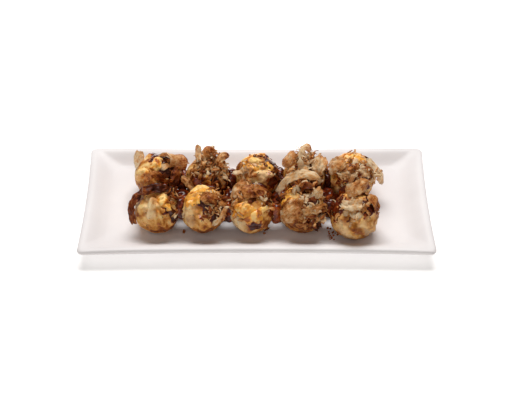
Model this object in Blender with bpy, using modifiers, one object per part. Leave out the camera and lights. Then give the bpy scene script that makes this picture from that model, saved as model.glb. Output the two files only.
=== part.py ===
"""Takoyaki served on a tray: ten dough balls in two rows of five on a long white glazed tray, with thick
mayonnaise and curled bonito flakes. Metres, +Z up, the origin under the middle of the tray's foot."""

import math

import bmesh
import bpy
import numpy as np

MM = 0.001
DEGREE = math.pi / 180
GAP = 0.3 * MM

# The tray's rim is a long rectangle whose sides bow in between its corners.
RIM_HALF_LENGTH = 150 * MM
RIM_HALF_WIDTH = 66.0 * MM
LONG_SIDE_BOW = 2.2 * MM
SHORT_SIDE_BOW = 2.0 * MM
RIM_CORNER_RADIUS = 5 * MM
CORNER_RADIUS_GROWTH = 0.35
END_WALL_STRETCH = 1.22
CORNER_DROOP = 1.0 * MM
RIM_HEIGHT = 17.5 * MM
FLOOR_HEIGHT = 8.3 * MM
LONG_SIDE_POINTS = 8
SHORT_SIDE_POINTS = 4
CORNER_POINTS = 5

# The tray's section, as (inset from the rim's outline, height), from under the foot over the lip to the floor.
TRAY_SECTION = (
    (29 * MM, 0.0),
    (28 * MM, 0.8 * MM),
    (27 * MM, 3.4 * MM),
    (20 * MM, 4.4 * MM),
    (9 * MM, 9.4 * MM),
    (1 * MM, 13.4 * MM),
    (0.0, 15.0 * MM),
    (0.7 * MM, 16.8 * MM),
    (2.3 * MM, RIM_HEIGHT),
    (4.4 * MM, 16.9 * MM),
    (8 * MM, 14.3 * MM),
    (12 * MM, 11.3 * MM),
    (16 * MM, 9.1 * MM),
    (20 * MM, FLOOR_HEIGHT),
)

# Each ball: middle (x, y), mean radius, height over width, seed of its lumps.
BALL_SEGMENTS = 20
BALL_RINGS = 11
BALL_SINK = 1.0 * MM
LUMP_HEIGHT = 0.6 * MM
LUMP_WAVES = 6
LUMP_PITCH = 2.6
BALLS = {
    "front_1": (-84.6 * MM, -26.6 * MM, 20.1 * MM, 0.98, 11),
    "front_2": (-44.6 * MM, -28.8 * MM, 19.5 * MM, 1.02, 12),
    "front_3": (-4.4 * MM, -26.6 * MM, 19.1 * MM, 0.99, 13),
    "front_4": (38.9 * MM, -25.0 * MM, 20.6 * MM, 0.97, 14),
    "front_5": (82.7 * MM, -32.5 * MM, 20.5 * MM, 0.99, 15),
    "back_1": (-85.5 * MM, 14.6 * MM, 20.3 * MM, 1.0, 16),
    "back_2": (-42.6 * MM, 13.5 * MM, 20.3 * MM, 0.98, 17),
    "back_3": (0.0 * MM, 14.5 * MM, 20.2 * MM, 1.0, 18),
    "back_4": (41.2 * MM, 16.6 * MM, 20.0 * MM, 0.98, 19),
    "back_5": (83.0 * MM, 13.8 * MM, 20.6 * MM, 1.0, 20),
}

# Raised folds of dough: ball, the fold's two ends as (azimuth, elevation) in degrees, reach, height.
FOLDS = (
    ("front_1", (-112, 62), (-108, 18), 3.0 * MM, 2.0 * MM),
    ("front_1", (-60, 40), (-50, -5), 3.6 * MM, 1.0 * MM),
    ("front_2", (-150, 40), (-118, -10), 4.0 * MM, 1.2 * MM),
    ("front_3", (-140, 8), (-95, -18), 4.5 * MM, 1.0 * MM),
    ("front_5", (-130, 24), (-70, -6), 4.5 * MM, 1.1 * MM),
    ("back_3", (-80, 46), (-40, 40), 4.5 * MM, 1.2 * MM),
    ("back_2", (-130, 30), (-100, 5), 4.5 * MM, 0.9 * MM),
)

# Thick mayonnaise: ball, its two ends as (azimuth, elevation), width, thickness, sideways sway.
DOLLOP_SEGMENTS = 10
DOLLOP_RINGS = 7
DOLLOPS = {
    "mayo_back_1_top": ("back_1", (20, 76), (-108, 62), 8.5 * MM, 3.2 * MM, 1.6 * MM),
    "mayo_back_1_side": ("back_1", (-112, 50), (-158, 32), 6.5 * MM, 2.4 * MM, 0.0),
    "mayo_back_2_front": ("back_2", (-84, 52), (-86, 24), 3.6 * MM, 2.0 * MM, 0.8 * MM),
    "mayo_back_3_top": ("back_3", (160, 46), (-22, 66), 6.0 * MM, 2.4 * MM, -1.0 * MM),
    "mayo_back_5_top": ("back_5", (158, 56), (60, 76), 8.0 * MM, 2.2 * MM, 0.0),
    "mayo_front_1_top": ("front_1", (-84, 68), (-34, 54), 8.5 * MM, 2.2 * MM, 0.6 * MM),
    "mayo_front_2_top": ("front_2", (158, 44), (62, 52), 6.5 * MM, 2.4 * MM, 0.6 * MM),
    "mayo_front_3_lump": ("front_3", (-146, 36), (-96, 50), 8.5 * MM, 3.4 * MM, 0.0),
    "mayo_front_3_band": ("front_3", (-106, 18), (-34, 38), 7.0 * MM, 2.2 * MM, 1.2 * MM),
}

# Bonito flakes: ball, three guide points along the flake measured from the ball's middle in millimetres,
# width, the way its face looks as (azimuth, elevation), and how far its width curls round, in degrees.
FLAKE_THICKNESS = 0.8 * MM
FLAKE_CLEARANCE = 1.3 * MM
FLAKE_STEPS = 5
FLAKE_ROWS = 3
FLAKES = {
    "flake_back_1_leaf": ("back_1", (-15, -1, 8), (-16, 5, 15), (-15, 9, 22), 9 * MM, (-90, 20), 40),
    "flake_back_1_arch": ("back_1", (-10, -18, 9), (-1, -19, 20), (8, -18, 9), 6 * MM, (-90, 50), 20),
    "flake_back_1_scroll": ("back_1", (13, -4, 25), (19, 1, 19), (26, 6, 12), 30 * MM, (-50, 50), 290),
    "flake_back_1_rust": ("back_1", (15, -8, 16), (17, -14, 11), (14, -19, 3), 8 * MM, (-60, 20), 30),
    "flake_back_2_tan": ("back_2", (-22, -8, 9), (-17, -13, 7), (-11, -17, 4), 7 * MM, (-110, 40), 40),
    "flake_back_2_pale": ("back_2", (-7, -3, 22), (-8, 4, 26), (-7, 8, 31), 6 * MM, (-100, 20), 40),
    "flake_back_2_peak": ("back_2", (-1, -4, 22), (1, 2, 29), (7, 3, 27), 8 * MM, (-80, 30), 130),
    "flake_back_2_right": ("back_2", (9, -5, 20), (14, 2, 23), (18, 5, 20), 8 * MM, (-60, 35), 120),
    "flake_back_4_left": ("back_4", (-17, -3, 13), (-14, -1, 20), (-8, 4, 24), 9 * MM, (-110, 30), 60),
    "flake_back_4_tuft": ("back_4", (-5, -3, 23), (0, 2, 30), (5, 5, 25), 8 * MM, (-90, 20), 150),
    "flake_back_4_right": ("back_4", (8, -13, 16), (13, -8, 20), (17, 7, 19), 13 * MM, (-50, 50), 50),
    "flake_back_5_left": ("back_5", (-21, 2, 8), (-16, -5, 18), (-7, -5, 23), 13 * MM, (-120, 50), 40),
    "flake_back_5_right": ("back_5", (11, -2, 20), (21, -3, 11), (26, -7, -1), 9 * MM, (-20, 40), 30),
    "flake_front_1_wrap": ("front_1", (-18, -14, -5), (-21, -6, 11), (-9, 3, 20), 10 * MM, (-140, 35), 60),
    "flake_front_1_dark": ("front_1", (-14, 1, 20), (-3, 0, 24), (10, 7, 19), 8 * MM, (-90, 60), 30),
    "flake_front_2_brown": ("front_2", (0, -9, 19), (6, -6, 21), (12, -7, 16), 10 * MM, (-60, 60), 30),
    "flake_front_2_pink": ("front_2", (9, -20, 1), (15, -15, 7), (19, -8, 10), 6 * MM, (-50, 20), 50),
    "flake_front_3_leaf": ("front_3", (-16, 3, 13), (-12, 8, 19), (-6, 14, 22), 7 * MM, (-120, 40), 30),
    "flake_front_3_crumple": ("front_3", (-8, -1, 21), (3, 1, 23), (16, 6, 13), 13 * MM, (-70, 70), 40),
    "flake_front_4_arch": ("front_4", (-22, 6, 12), (-7, 6, 33), (14, 5, 30), 7 * MM, (-80, 60), 30),
    "flake_front_4_ring": ("front_4", (2, 8, 24), (3, 3, 25), (4, -2, 25), 26 * MM, (90, 80), 320),
    "flake_front_4_stand": ("front_4", (7, -12, 19), (11, -8, 24), (15, -3, 26), 9 * MM, (-70, 20), 50),
    "flake_front_4_lower": ("front_4", (-19, -8, -6), (-13, -17, 10), (-3, -17, 18), 14 * MM, (-120, 30), 30),
    "flake_front_4_mid": ("front_4", (-1, -19, 14), (8, -17, 15), (20, -9, 11), 8 * MM, (-60, 40), 40),
    "flake_front_4_dark": ("front_4", (6, -22, 6), (9, -21, 2), (14, -17, -7), 8 * MM, (-50, 10), 30),
    "flake_front_5_top": ("front_5", (-8, 3, 22), (1, 5, 27), (11, 14, 24), 12 * MM, (-80, 40), 40),
    "flake_front_5_white": ("front_5", (-12, -6, 20), (-4, -11, 22), (6, -8, 22), 9 * MM, (-90, 50), 30),
    "flake_front_5_brown": ("front_5", (11, 3, 20), (16, -1, 18), (19, -6, 11), 11 * MM, (-10, 50), 20),
}

# Colours as linear red, green and blue, and roughness.
GLAZE = ("white_glaze", (0.86, 0.80, 0.78), 0.12)
DOUGH = ("fried_dough", (0.50, 0.26, 0.10), 0.45)
MAYONNAISE = ("mayonnaise", (0.86, 0.46, 0.12), 0.30)
BONITO = ("bonito_flake", (0.46, 0.25, 0.13), 0.55)


def clear_scene():
    for obj in list(bpy.data.objects):
        bpy.data.objects.remove(obj)


def make_material(name, colour, roughness):
    material = bpy.data.materials.new(name)
    material.use_nodes = True
    shader = material.node_tree.nodes["Principled BSDF"]
    shader.inputs["Base Color"].default_value = (*colour, 1)
    shader.inputs["Roughness"].default_value = roughness
    shader.inputs["Metallic"].default_value = 0
    return material


def add_object(name, bm, collection, finish):
    """Writes the bmesh to a smooth-shaded object of its own material."""
    bmesh.ops.recalc_face_normals(bm, faces=bm.faces)
    if bm.calc_volume(signed=True) < 0:
        bmesh.ops.reverse_faces(bm, faces=bm.faces)
    mesh = bpy.data.meshes.new(name)
    bm.to_mesh(mesh)
    bm.free()
    mesh.shade_smooth()
    mesh.materials.append(make_material(f"{name}_{finish[0]}", *finish[1:]))
    obj = bpy.data.objects.new(name, mesh)
    collection.objects.link(obj)
    return obj


def coordinates(bm):
    return np.array([vertex.co[:] for vertex in bm.verts])


def move_vertices(bm, places):
    for vertex, place in zip(bm.verts, places):
        vertex.co = place


# ---- Tray ----


def rim_outline(inset):
    """One level ring of the tray: a rounded rectangle, as rows of x, y and the share of the way to a corner."""
    half_length = RIM_HALF_LENGTH - inset * END_WALL_STRETCH
    half_width = RIM_HALF_WIDTH - inset
    radius = RIM_CORNER_RADIUS + CORNER_RADIUS_GROWTH * inset
    arc = np.linspace(0, math.pi / 2, CORNER_POINTS)
    corner = np.stack([np.cos(arc) - 1, np.sin(arc) - 1], 1) * radius + (half_length, half_width)
    along_top = np.linspace(corner[-1, 0], -corner[-1, 0], LONG_SIDE_POINTS + 2)[1:-1]
    along_left = np.linspace(corner[0, 1], -corner[0, 1], SHORT_SIDE_POINTS + 2)[1:-1]
    top = np.stack([along_top, np.full(LONG_SIDE_POINTS, half_width)], 1)
    left = np.stack([np.full(SHORT_SIDE_POINTS, -half_length), along_left], 1)
    half = np.concatenate([corner, top, corner[::-1] * (-1, 1), left])
    ring = np.concatenate([half, -half])
    share = np.abs(ring) / (half_length, half_width)
    bow = (1 - share[:, ::-1] ** 2) * (SHORT_SIDE_BOW, LONG_SIDE_BOW)
    reach = np.clip(share, 0, 1) ** 8
    ring = ring - np.sign(ring) * bow * reach
    return ring[:, 0], ring[:, 1], share.min(axis=1)


def tray(collection):
    """The foot's outline is drawn once and extruded ring by ring along the section, over the lip to the floor."""
    bm = bmesh.new()
    count = 2 * (2 * CORNER_POINTS + LONG_SIDE_POINTS + SHORT_SIDE_POINTS)
    bmesh.ops.create_circle(bm, cap_ends=True, segments=count, radius=1)
    station = bm.verts.layers.int.new("station")
    bm.verts.ensure_lookup_table()
    for index, vertex in enumerate(bm.verts):
        vertex[station] = index
    vertices = list(bm.verts)
    edges = list(bm.edges)
    for number, (inset, height) in enumerate(TRAY_SECTION):
        if number:
            made = bmesh.ops.extrude_edge_only(bm, edges=edges)["geom"]
            vertices = [item for item in made if isinstance(item, bmesh.types.BMVert)]
            ring = set(vertices)
            edges = [
                item
                for item in made
                if isinstance(item, bmesh.types.BMEdge) and ring.issuperset(item.verts)
            ]
        x, y, share = rim_outline(inset)
        z = height - CORNER_DROOP * share**6 * (height / RIM_HEIGHT) ** 2 * (inset < 18 * MM)
        for vertex in vertices:
            place = vertex[station]
            vertex.co = (x[place], y[place], z[place])
    bmesh.ops.holes_fill(bm, edges=edges, sides=0)
    return add_object("tray", bm, collection, GLAZE)


# ---- Balls ----


def unit(azimuth, elevation):
    a, e = azimuth * DEGREE, elevation * DEGREE
    return np.array([math.cos(a) * math.cos(e), math.sin(a) * math.cos(e), math.sin(e)])


def centre(ball):
    x, y, radius, height_ratio, _ = BALLS[ball]
    return np.array([x, y, FLOOR_HEIGHT + radius * height_ratio - BALL_SINK])


def distance_to_fold(directions, start, end, radius):
    """How far each direction's point on the ball is from the line between two of its directions."""
    a, b = unit(*start), unit(*end)
    share = np.clip((directions - a) @ (b - a) / np.dot(b - a, b - a), 0, 1)[:, None]
    nearest = a + share * (b - a)
    nearest /= np.linalg.norm(nearest, axis=1, keepdims=True)
    return np.linalg.norm(directions - nearest, axis=1) * radius


def ball_reach(ball, directions):
    """Radius of a ball along unit directions: an ellipsoid with slow lumps and folds of dough, cut flat
    where it rests on the tray and where it leans on a neighbour."""
    _, _, radius, height_ratio, seed = BALLS[ball]
    reach = radius / np.sqrt(directions[:, 0] ** 2 + directions[:, 1] ** 2 + (directions[:, 2] / height_ratio) ** 2)
    draw = np.random.default_rng(seed)
    waves = draw.normal(size=(3, LUMP_WAVES)) * LUMP_PITCH
    phases = draw.uniform(0, 2 * math.pi, LUMP_WAVES)
    reach += LUMP_HEIGHT * np.sin(directions @ waves + phases).sum(axis=1) / math.sqrt(LUMP_WAVES)
    for owner, start, end, width, height in FOLDS:
        if owner == ball:
            reach += height * np.exp(-((distance_to_fold(directions, start, end, radius) / width) ** 2))
    middle = centre(ball)
    down = np.maximum(-directions[:, 2], 1e-6)
    reach = np.minimum(reach, (middle[2] - FLOOR_HEIGHT - GAP) / down)
    for other in BALLS:
        if other == ball:
            continue
        between = centre(other) - middle
        apart = np.linalg.norm(between)
        plane = (apart**2 + radius**2 - BALLS[other][2] ** 2) / (2 * apart) - GAP / 2
        towards = np.maximum(directions @ between / apart, 1e-6)
        reach = np.minimum(reach, plane / towards)
    return reach


def ball(name, collection):
    bm = bmesh.new()
    bmesh.ops.create_uvsphere(bm, u_segments=BALL_SEGMENTS, v_segments=BALL_RINGS, radius=1)
    directions = coordinates(bm)
    directions /= np.linalg.norm(directions, axis=1, keepdims=True)
    move_vertices(bm, centre(name) + directions * ball_reach(name, directions)[:, None])
    return add_object(f"ball_{name}", bm, collection, DOUGH)


# ---- Toppings ----


def dollop(name, owner, start, end, width, thickness, sway, collection):
    """A unit sphere wrapped on the ball: x runs from one end to the other, y across, and z is the height."""
    radius = BALLS[owner][2]
    a, b = unit(*start), unit(*end)
    bm = bmesh.new()
    bmesh.ops.create_uvsphere(bm, u_segments=DOLLOP_SEGMENTS, v_segments=DOLLOP_RINGS, radius=1)
    x, y, z = coordinates(bm).T
    side = np.cross(a, b)
    side /= np.linalg.norm(side)
    along = a + np.outer((x + 1) / 2, b - a)
    across = (y * width / 2 + sway * np.sin(x * math.pi)) / radius
    directions = along + np.outer(across, side)
    directions /= np.linalg.norm(directions, axis=1, keepdims=True)
    rise = np.where(z > 0, 0.3 + 0.7 * z, 0.3 * (1 + z)) * thickness
    height = ball_reach(owner, directions) + 2 * GAP + rise
    move_vertices(bm, centre(owner) + directions * height[:, None])
    return add_object(name, bm, collection, MAYONNAISE)


def pushed_clear(points):
    """Moves points that are too near a ball straight out from its middle, so that a flake drapes over it."""
    for name in BALLS:
        away = points - centre(name)
        distance = np.linalg.norm(away, axis=1)
        directions = away / distance[:, None]
        clear = np.maximum(distance, ball_reach(name, directions) + FLAKE_CLEARANCE)
        points = centre(name) + directions * clear[:, None]
    return points


def flake(name, owner, start, middle, end, width, facing, curl, collection):
    """A strip along a parabola through three guide points, its width rolled by the curl angle."""
    bm = bmesh.new()
    bmesh.ops.create_grid(bm, x_segments=FLAKE_STEPS, y_segments=FLAKE_ROWS, size=1)
    x, y, _ = coordinates(bm).T
    a, m, b = (np.array(point) * MM for point in (start, middle, end))
    line = m + np.outer(x, (b - a) / 2) + np.outer(x**2, (a + b) / 2 - m)
    tangent = (b - a) / 2 + np.outer(x, a + b - 2 * m)
    tangent /= np.linalg.norm(tangent, axis=1, keepdims=True)
    side = np.cross(unit(*facing), tangent)
    side /= np.linalg.norm(side, axis=1, keepdims=True)
    face = np.cross(tangent, side)
    turn = curl * DEGREE * y / 2
    bend_radius = width / (curl * DEGREE)
    taper = np.sqrt(1 - 0.6 * x**2)
    across = bend_radius * np.sin(turn) * taper
    sag = bend_radius * (np.cos(turn) - 1) * taper
    points = centre(owner) + line + side * across[:, None] + face * sag[:, None]
    move_vertices(bm, pushed_clear(points))
    obj = add_object(name, bm, collection, BONITO)
    sheet = obj.modifiers.new("thickness", "SOLIDIFY")
    sheet.thickness = FLAKE_THICKNESS
    sheet.offset = 0
    return obj


def main():
    clear_scene()
    collection = bpy.data.collections.new("takoyaki_tray")
    bpy.context.scene.collection.children.link(collection)
    tray(collection)
    for name in BALLS:
        ball(name, collection)
    for name, (owner, start, end, width, thickness, sway) in DOLLOPS.items():
        dollop(name, owner, start, end, width, thickness, sway, collection)
    for name, (owner, start, middle, end, width, facing, curl) in FLAKES.items():
        flake(name, owner, start, middle, end, width, facing, curl, collection)


main()
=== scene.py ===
# %% [markdown]
# # Takoyaki on a long white tray
#
# Ten balls of fried batter lie in two rows on a shallow glazed tray. Brown sauce, thick mayonnaise,
# curled shavings of dried bonito and flecks of green seaweed lie on top. The solid model underneath
# fixes every size, and this lesson dresses it: each piece is a surface worked out from a formula, and
# each finish is a small tree of shader nodes.

import math

import bpy
import numpy as np
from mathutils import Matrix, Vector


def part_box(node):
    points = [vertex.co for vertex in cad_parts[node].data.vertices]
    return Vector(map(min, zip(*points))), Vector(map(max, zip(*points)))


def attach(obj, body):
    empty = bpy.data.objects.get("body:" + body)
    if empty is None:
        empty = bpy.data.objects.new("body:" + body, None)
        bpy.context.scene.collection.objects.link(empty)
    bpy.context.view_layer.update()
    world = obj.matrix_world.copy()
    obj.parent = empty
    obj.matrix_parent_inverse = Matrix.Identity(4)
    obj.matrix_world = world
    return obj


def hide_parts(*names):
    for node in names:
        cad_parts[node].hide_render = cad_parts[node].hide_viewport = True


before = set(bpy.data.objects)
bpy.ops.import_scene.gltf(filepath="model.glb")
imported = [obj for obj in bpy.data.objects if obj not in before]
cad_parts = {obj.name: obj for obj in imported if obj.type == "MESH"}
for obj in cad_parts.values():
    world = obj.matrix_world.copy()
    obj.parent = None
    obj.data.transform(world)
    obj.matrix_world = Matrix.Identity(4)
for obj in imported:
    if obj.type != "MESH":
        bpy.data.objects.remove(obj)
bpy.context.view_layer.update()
MM = 0.001

# %% [markdown]
# ## Camera
#
# A dish this long is looked at from the front and from fairly high up. A long lens from about a metre
# away keeps the two short ends of the tray nearly parallel.

# %% Place the camera
VIEW_ELEVATION = math.radians(43.5)
VIEW_DISTANCE = 1.058
LOOK_AT = np.array([-0.6, -4.0, 17.5]) * MM
LENS = 86.0

camera_data = bpy.data.cameras.new("camera")
camera_data.lens = LENS
camera_data.sensor_width = 36
camera = bpy.data.objects.new("camera", camera_data)
bpy.context.scene.collection.objects.link(camera)
backwards = np.array([0, -math.cos(VIEW_ELEVATION), math.sin(VIEW_ELEVATION)])
camera.location = LOOK_AT + VIEW_DISTANCE * backwards
camera.rotation_euler = (math.pi / 2 - VIEW_ELEVATION, 0, 0)
bpy.context.scene.camera = camera
bpy.context.scene.view_settings.view_transform = "Standard"
print("camera at", [round(value, 3) for value in camera.location])

# %% [markdown]
# ## Colours and shader nodes
#
# Colours are written as the hex codes a designer would use. Those are sRGB, and shaders work in linear
# light, so one function turns them. One more function adds any node: its attributes are given by name,
# and each input is either a plain value or the output socket that feeds it. A texture's Scale is about the
# number of its features in a metre, so 1000 gives features of a millimetre.

# %% Helpers for materials


def linear(code):
    """An sRGB hex code as linear red, green, blue and alpha."""
    channels = np.array([int(code[i : i + 2], 16) for i in (1, 3, 5)]) / 255
    low = channels / 12.92
    high = ((channels + 0.055) / 1.055) ** 2.4
    return (*np.where(channels <= 0.04045, low, high), 1.0)


def node(tree, kind, inputs=None, stops=None, **settings):
    """Adds a node. inputs maps a socket's name or number to a value or to the socket that feeds it, and
    stops are the positions and colours of a colour ramp."""
    made = tree.nodes.new("ShaderNode" + kind)
    for name, value in settings.items():
        setattr(made, name, value)
    for place, (position, colour) in enumerate(stops or ()):
        elements = made.color_ramp.elements
        element = elements[place] if place < 2 else elements.new(position)
        element.position = position
        element.color = colour
    for name, value in (inputs or {}).items():
        if isinstance(value, bpy.types.NodeSocket):
            tree.links.new(value, made.inputs[name])
        else:
            made.inputs[name].default_value = value
    return made


def new_material(name):
    """An empty node tree with its output: returns the material, the tree and the output node."""
    material = bpy.data.materials.new(name)
    material.use_nodes = True
    tree = material.node_tree
    tree.nodes.clear()
    return material, tree, tree.nodes.new("ShaderNodeOutputMaterial")


print("sRGB #808080 is", round(linear("#808080")[0], 3), "in linear light")

# %% [markdown]
# ## From arrays to meshes
#
# Every shape here is a grid of points, rows by columns, computed as one array. The faces only say which
# points are neighbours, so one function serves all of them: a grid may be open, may close round its
# columns, and may shrink to a single point at its first and last row, as a ball does at its poles.

# %% Helpers for meshes


def grid_faces(rows, columns, closed=False):
    """Quads between neighbouring points of a grid, wrapping round its columns when closed."""
    index = np.arange(rows * columns).reshape(rows, columns)
    after = np.roll(index, -1, axis=1)
    if not closed:
        index, after = index[:, :-1], after[:, :-1]
    quads = np.stack([index[:-1], after[:-1], after[1:], index[1:]], axis=-1)
    return quads.reshape(-1, 4)


def cap_faces(ring, pole, flip):
    """Triangles from a closed ring of point numbers to one pole."""
    after = np.roll(ring, -1)
    pair = (after, ring) if flip else (ring, after)
    return np.stack([*pair, np.full(len(ring), pole)], axis=-1)


def joined(one, size, count):
    """The faces of one shape repeated count times, where each copy has size points."""
    return (one[None] + np.arange(count)[:, None, None] * size).reshape(-1, one.shape[1])


def new_piece(name, points, faces, material, replaced=(), attributes=None):
    """A smooth mesh object from an array of points and lists of faces, tied to the frame."""
    mesh = bpy.data.meshes.new(name)
    mesh.from_pydata(points.reshape(-1, 3).tolist(), [], [face for part in faces for face in part.tolist()])
    for key, values in (attributes or {}).items():
        layer = mesh.attributes.new(key, "FLOAT_COLOR", "POINT")
        layer.data.foreach_set("color", np.ascontiguousarray(values, np.float32).ravel())
    mesh.materials.append(material)
    mesh.shade_smooth()
    piece = bpy.data.objects.new(name, mesh)
    bpy.context.scene.collection.objects.link(piece)
    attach(piece, "root")
    if replaced:
        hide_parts(*replaced)
    return piece


def rough(points, size, seed, octaves=3, waves=20):
    """Random relief, mostly between -1 and 1: sine waves in random directions are added up, and each
    octave's waves are half as long and half as high as the last's."""
    draw = np.random.default_rng(seed)
    total = np.zeros(len(points))
    for octave in range(octaves):
        heading = draw.normal(size=(3, waves))
        heading /= np.linalg.norm(heading, axis=0)
        pitch = 2 * math.pi * 2**octave / size * draw.uniform(0.6, 1.2, waves)
        phase = draw.uniform(0, 2 * math.pi, waves)
        total += 0.5**octave * np.sin(points @ (heading * pitch) + phase).sum(axis=1)
    return total / math.sqrt(waves) * 0.9


def smooth_step(low, high, values):
    """0 below low, 1 above high, and an S curve between them."""
    share = np.clip((values - low) / (high - low), 0, 1)
    return share * share * (3 - 2 * share)


print("a grid of 3 by 4 points has", len(grid_faces(3, 4)), "quads")

# %% [markdown]
# ## The tray
#
# The tray is slip-cast and glazed: a long rectangle whose sides bow in a little between the corners, with
# a rolled lip, flared walls and a flat floor. A cube with bevels would give hard, even walls. Here the
# section, from the foot over the lip to the floor, is carried round a ring whose corners open out as it
# moves inwards, which leaves the soft diagonal crease that such a tray has in each corner.

# %% Shape the tray
tray_high = np.array(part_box("tray")[1])
RIM_HALF_LENGTH = tray_high[0] + 0.3 * MM
RIM_HALF_WIDTH = tray_high[1] + 0.2 * MM
RIM_HEIGHT = tray_high[2]
FLOOR_HEIGHT = 8.3 * MM
LONG_SIDE_BOW = 2.2 * MM
SHORT_SIDE_BOW = 2.0 * MM
LIP_CORNER_RADIUS = 5 * MM
CORNER_RADIUS_GROWTH = 0.35
END_WALL_STRETCH = 1.22
CORNER_DROOP = 1.0 * MM
SECTION = np.array([
    (29, 0), (28.4, 0.15), (28, 0.8), (27.2, 2.2), (26.4, 3.2), (24, 3.9), (20, 4.5), (14, 6.7), (9, 8.9),
    (4, 11.2), (1.4, 12.2), (0.3, 13.2), (0, 14.7), (0.2, 16.1), (1.0, 17.1), (2.4, 17.5), (4.2, 17.4),
    (6.2, 16.6), (9, 14.9), (13, 12.2), (17, 10.1), (21, 8.9), (25, 8.42), (29, 8.3),
]) * MM
SECTION_STEPS = 120
print("lip, in millimetres:", [round(2 * side / MM, 1) for side in (RIM_HALF_LENGTH, RIM_HALF_WIDTH)])

# %% [markdown]
# ### Carrying the section round
#
# A Catmull-Rom curve smooths the section's points. Every point of it then becomes a ring round the whole
# tray, drawn in from the lip by its inset, and shrinking rings close the foot and the floor.

# %% Build the tray's rings


def curve_through(points, count):
    """A Catmull-Rom curve: on each span, a cubic whose slopes at both ends follow the neighbouring points."""
    place = np.linspace(0, len(points) - 1 - 1e-9, count)
    span = place.astype(int)
    share = (place - span)[:, None]
    before, start = points[np.maximum(span - 1, 0)], points[span]
    end, after = points[span + 1], points[np.minimum(span + 2, len(points) - 1)]
    slope_in, slope_out = (end - before) / 2, (after - start) / 2
    return (
        start * (1 + 2 * share) * (1 - share) ** 2
        + slope_in * share * (1 - share) ** 2
        + end * share**2 * (3 - 2 * share)
        + slope_out * share**2 * (share - 1)
    )


def tray_ring(inset, height):
    """One ring of the tray: a rounded rectangle with bowed sides, drooping slightly at its corners."""
    half_length = RIM_HALF_LENGTH - inset * END_WALL_STRETCH
    half_width = RIM_HALF_WIDTH - inset
    radius = LIP_CORNER_RADIUS + CORNER_RADIUS_GROWTH * inset
    arc = np.linspace(0, math.pi / 2, 15)
    corner = np.stack([np.cos(arc) - 1, np.sin(arc) - 1], 1) * radius + (half_length, half_width)
    along = np.linspace(corner[-1, 0], -corner[-1, 0], 62)[1:-1]
    across = np.linspace(corner[0, 1], -corner[0, 1], 30)[1:-1]
    top = np.stack([along, np.full(len(along), half_width)], 1)
    left = np.stack([np.full(len(across), -half_length), across], 1)
    half = np.concatenate([corner, top, corner[::-1] * (-1, 1), left])
    ring = np.concatenate([half, -half])
    share = np.clip(np.abs(ring) / (half_length, half_width), 0, 1)
    bow = (1 - share[:, ::-1] ** 2) * (SHORT_SIDE_BOW, LONG_SIDE_BOW)
    ring = ring - np.sign(ring) * bow * share**8
    lifted = (height / RIM_HEIGHT) ** 2 * (inset < 18 * MM)
    z = height - CORNER_DROOP * share.min(axis=1) ** 6 * lifted
    return np.column_stack([ring, z])


def tray_points():
    """Rings from the middle of the underside out, up the section, and in to the middle of the floor."""
    section = curve_through(SECTION, SECTION_STEPS)
    rings = [tray_ring(inset, height) for inset, height in section]
    spread = np.linspace(0.08, 0.98, 12)
    under = [rings[0] * (share, share, 1) for share in spread]
    floor = [rings[-1] * (share, share, 1) for share in spread[::-1]]
    return np.array(under + rings + floor)


rings = tray_points()
rings[:, :, 2] = np.maximum(rings[:, :, 2], 0)
rows, columns = rings.shape[:2]
poles = np.array([[0, 0, 0], [0, 0, rings[-1, 0, 2]]])
tray_mesh_points = np.concatenate([rings.reshape(-1, 3), poles])
tray_faces = [
    grid_faces(rows, columns, closed=True),
    cap_faces(np.arange(columns), rows * columns, flip=True),
    cap_faces(np.arange(columns) + (rows - 1) * columns, rows * columns + 1, flip=False),
]
print("tray:", rows, "rings of", columns, "points")

# %% [markdown]
# ### Glazed stoneware
#
# White stoneware under a clear feldspar glaze. The glaze is a glass, with an IOR of 1.5, and it is smooth
# but never flat: it pools and thins over a centimetre or two, which makes the reflections waver, and it
# has a faint orange-peel ripple about 2 mm wide with the odd pinhole. The white is slightly pink, and
# a shade greyer where the glaze lies thick.

# %% Glaze the tray
glaze, tree, output = new_material("glazed_white_stoneware")
place = node(tree, "TexCoord").outputs["Object"]
pooling = node(tree, "TexNoise", {"Vector": place, "Scale": 22.0, "Detail": 3.0, "Roughness": 0.5})
ripple = node(tree, "TexNoise", {"Vector": place, "Scale": 420.0, "Detail": 2.0, "Roughness": 0.4})
pinholes = node(tree, "TexVoronoi", {"Vector": place, "Scale": 160.0})
pinhole_depth = node(tree, "ValToRGB", {"Fac": pinholes.outputs["Distance"]},
                     stops=((0.0, linear("#000000")), (0.05, linear("#ffffff"))))
glaze_tint = node(tree, "ValToRGB", {"Fac": pooling.outputs["Fac"]},
                  stops=((0.3, linear("#e6e1e1")), (0.7, linear("#eeeaea"))))
relief = node(tree, "Mix", {0: 0.25, 2: pooling.outputs["Fac"], 3: ripple.outputs["Fac"]})
holed = node(tree, "Math", {0: relief.outputs[0], 1: pinhole_depth.outputs["Color"]}, operation="MULTIPLY")
glaze_bump = node(tree, "Bump", {"Height": holed.outputs[0], "Strength": 0.12, "Distance": 0.0006})
gloss = node(tree, "MapRange", {0: ripple.outputs["Fac"], 3: 0.44, 4: 0.56})
shader = node(tree, "BsdfPrincipled", {
    "Base Color": glaze_tint.outputs["Color"], "Roughness": gloss.outputs[0], "IOR": 1.5,
    "Normal": glaze_bump.outputs["Normal"]})
tree.links.new(shader.outputs[0], output.inputs[0])
tray = new_piece("glazed_tray", tray_mesh_points, tray_faces, glaze, ["tray"])
print("tray faces:", len(tray.data.polygons))

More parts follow.
